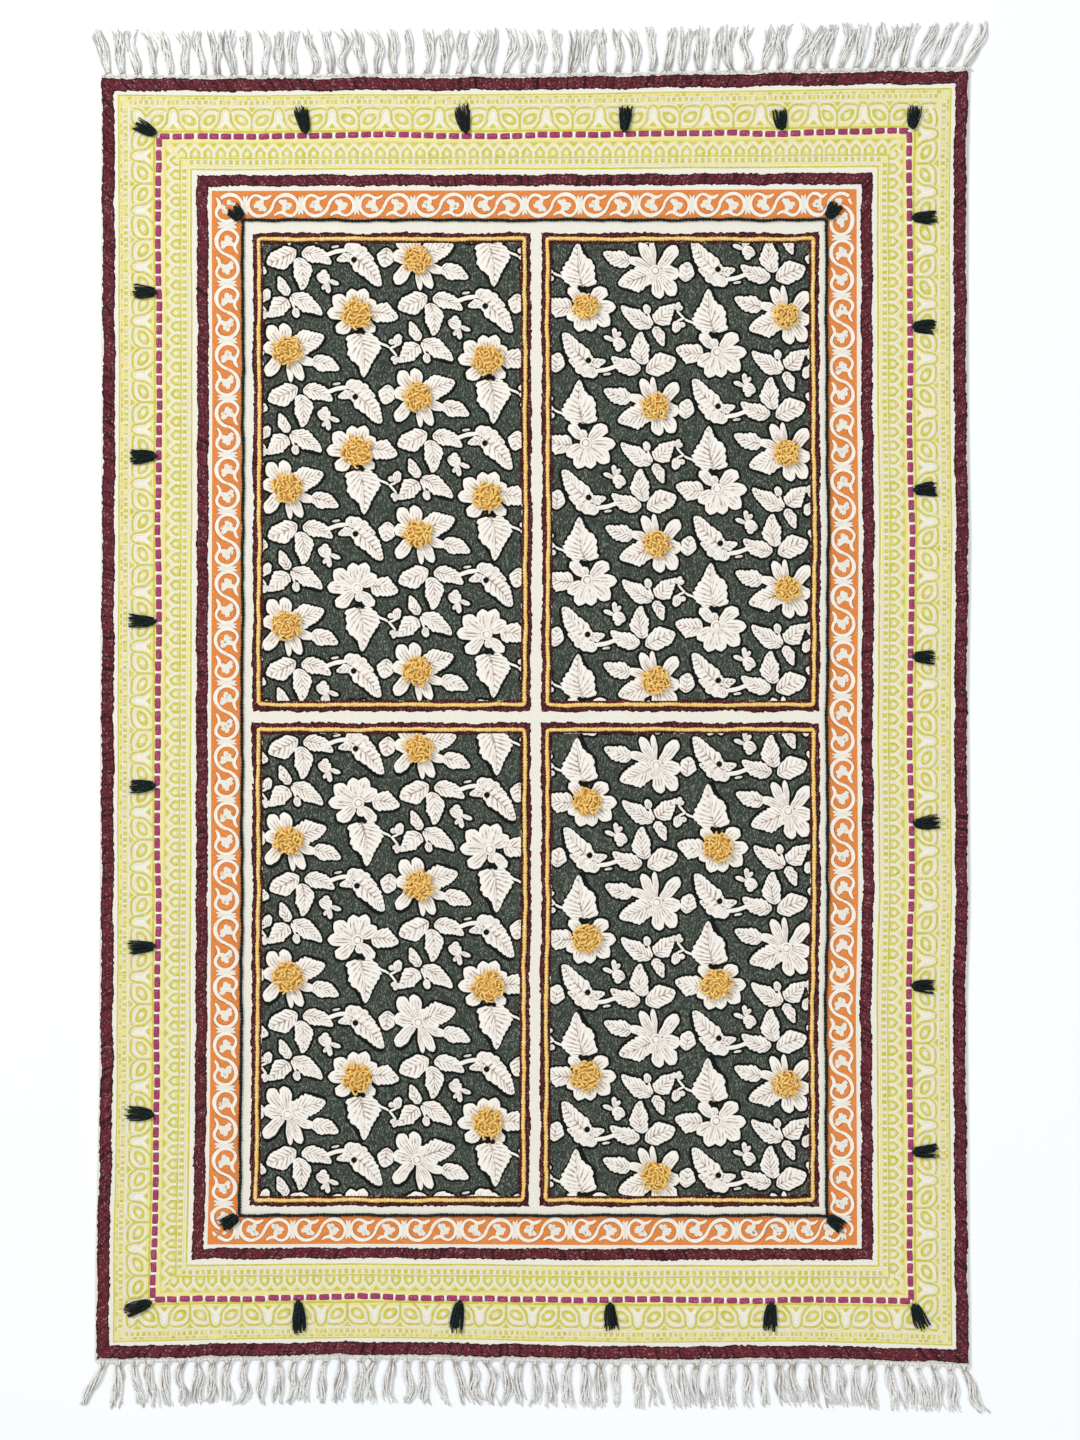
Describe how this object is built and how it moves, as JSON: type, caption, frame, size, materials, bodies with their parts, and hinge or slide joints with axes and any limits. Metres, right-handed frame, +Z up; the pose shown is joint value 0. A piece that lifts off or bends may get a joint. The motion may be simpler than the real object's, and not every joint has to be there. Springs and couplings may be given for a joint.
{
  "type": "dhurrie rug",
  "caption": "Flat cotton dhurrie rug with printed borders, embroidered floral panels, looped yarn tufts, couched cords, yarn tassels and knotted end fringes.",
  "frame": {"origin": "on the floor under the middle of the whole rug, fringes included", "axes": "+X across the rug, +Y along its length, +Z up out of its face"},
  "size_m": [1.2752, 1.9488, 0.0119],
  "materials": {
    "cream_cloth": "matte flat-woven cotton",
    "warp_yarn": "undyed cotton warp ends",
    "green_yarn": "soft dark green cotton yarn",
    "yellow_yarn": "soft golden yellow cotton yarn"
  },
  "bodies": {
    "root": {"rug_cloth": "cream_cloth", "fringe_top": "warp_yarn", "fringe_bottom": "warp_yarn", "tassel_top_1": "green_yarn", "tassel_top_2": "green_yarn", "tassel_top_3": "green_yarn", "tassel_top_4": "green_yarn", "tassel_bottom_1": "green_yarn", "tassel_bottom_2": "green_yarn", "tassel_bottom_3": "green_yarn", "tassel_bottom_4": "green_yarn", "tassel_left_1": "green_yarn", "tassel_left_2": "green_yarn", "tassel_left_3": "green_yarn", "tassel_left_4": "green_yarn", "tassel_left_5": "green_yarn", "tassel_left_6": "green_yarn", "tassel_right_1": "green_yarn", "tassel_right_2": "green_yarn", "tassel_right_3": "green_yarn", "tassel_right_4": "green_yarn", "tassel_right_5": "green_yarn", "tassel_right_6": "green_yarn", "tassel_right_7": "green_yarn", "tassel_corner_1": "green_yarn", "tassel_corner_2": "green_yarn", "tassel_corner_3": "green_yarn", "tassel_corner_4": "green_yarn", "tassel_inner_1": "green_yarn", "tassel_inner_2": "green_yarn", "tassel_inner_3": "green_yarn", "tassel_inner_4": "green_yarn", "green_cord": "green_yarn", "yellow_cord_1": "yellow_yarn", "yellow_cord_2": "yellow_yarn", "yellow_cord_3": "yellow_yarn", "yellow_cord_4": "yellow_yarn"}
  },
  "joints": []
}
